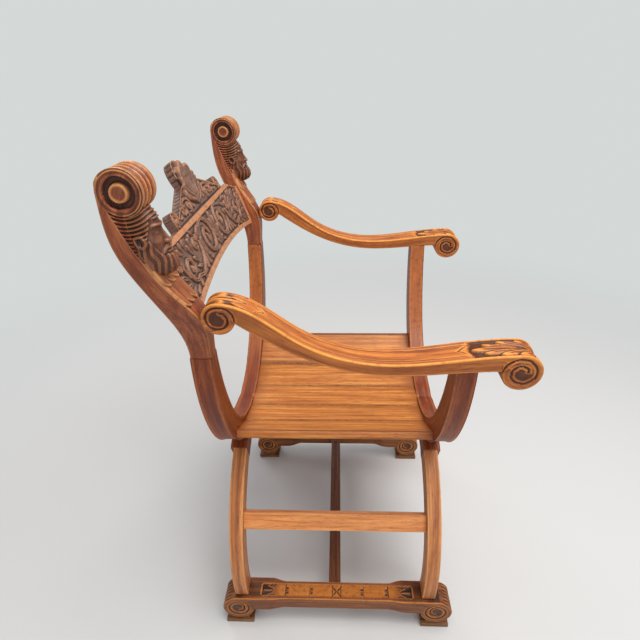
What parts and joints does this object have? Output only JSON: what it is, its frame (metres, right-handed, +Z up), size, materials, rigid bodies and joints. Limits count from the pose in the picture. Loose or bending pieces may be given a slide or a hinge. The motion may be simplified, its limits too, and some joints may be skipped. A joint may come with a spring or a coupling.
{
  "type": "savonarola armchair",
  "caption": "Rigid savonarola armchair in carved hardwood: crossed S-curved frames on sled feet, dished boarded seat, scrolled arms and raked, carved back.",
  "frame": {"origin": "on the floor, below the middle of the bounding box", "axes": "+Z up, the sitter faces -Y, +X to the sitter's left"},
  "size_m": [0.682, 0.6618, 1.0635],
  "materials": {
    "dark_wood": "dark stained and waxed",
    "honey_wood": "honey stained and waxed",
    "carved_wood": "carved, with darkened ground"
  },
  "bodies": {
    "root": {"back_leg_left": "dark_wood", "back_s_member_left": "dark_wood", "back_leg_right": "dark_wood", "back_s_member_right": "dark_wood", "front_leg_left": "dark_wood", "front_s_member_left": "dark_wood", "front_leg_right": "dark_wood", "front_s_member_right": "dark_wood", "arm_left": "honey_wood", "arm_right": "honey_wood", "back_post_left": "dark_wood", "back_post_right": "dark_wood", "back_panel": "carved_wood", "seat_board_edge_right": "honey_wood", "seat_board_right": "honey_wood", "seat_board_middle": "honey_wood", "seat_board_left": "honey_wood", "seat_board_edge_left": "honey_wood", "side_stretcher_left": "honey_wood", "side_stretcher_right": "honey_wood", "cross_bar": "dark_wood", "sled_left": "dark_wood", "sled_right": "dark_wood", "foot_pads": "dark_wood", "leg_splice_tenons": "dark_wood", "post_splice_tenons": "dark_wood", "arm_dowels": "dark_wood", "crossing_boss": "dark_wood", "crossing_pin": "dark_wood"}
  },
  "joints": []
}
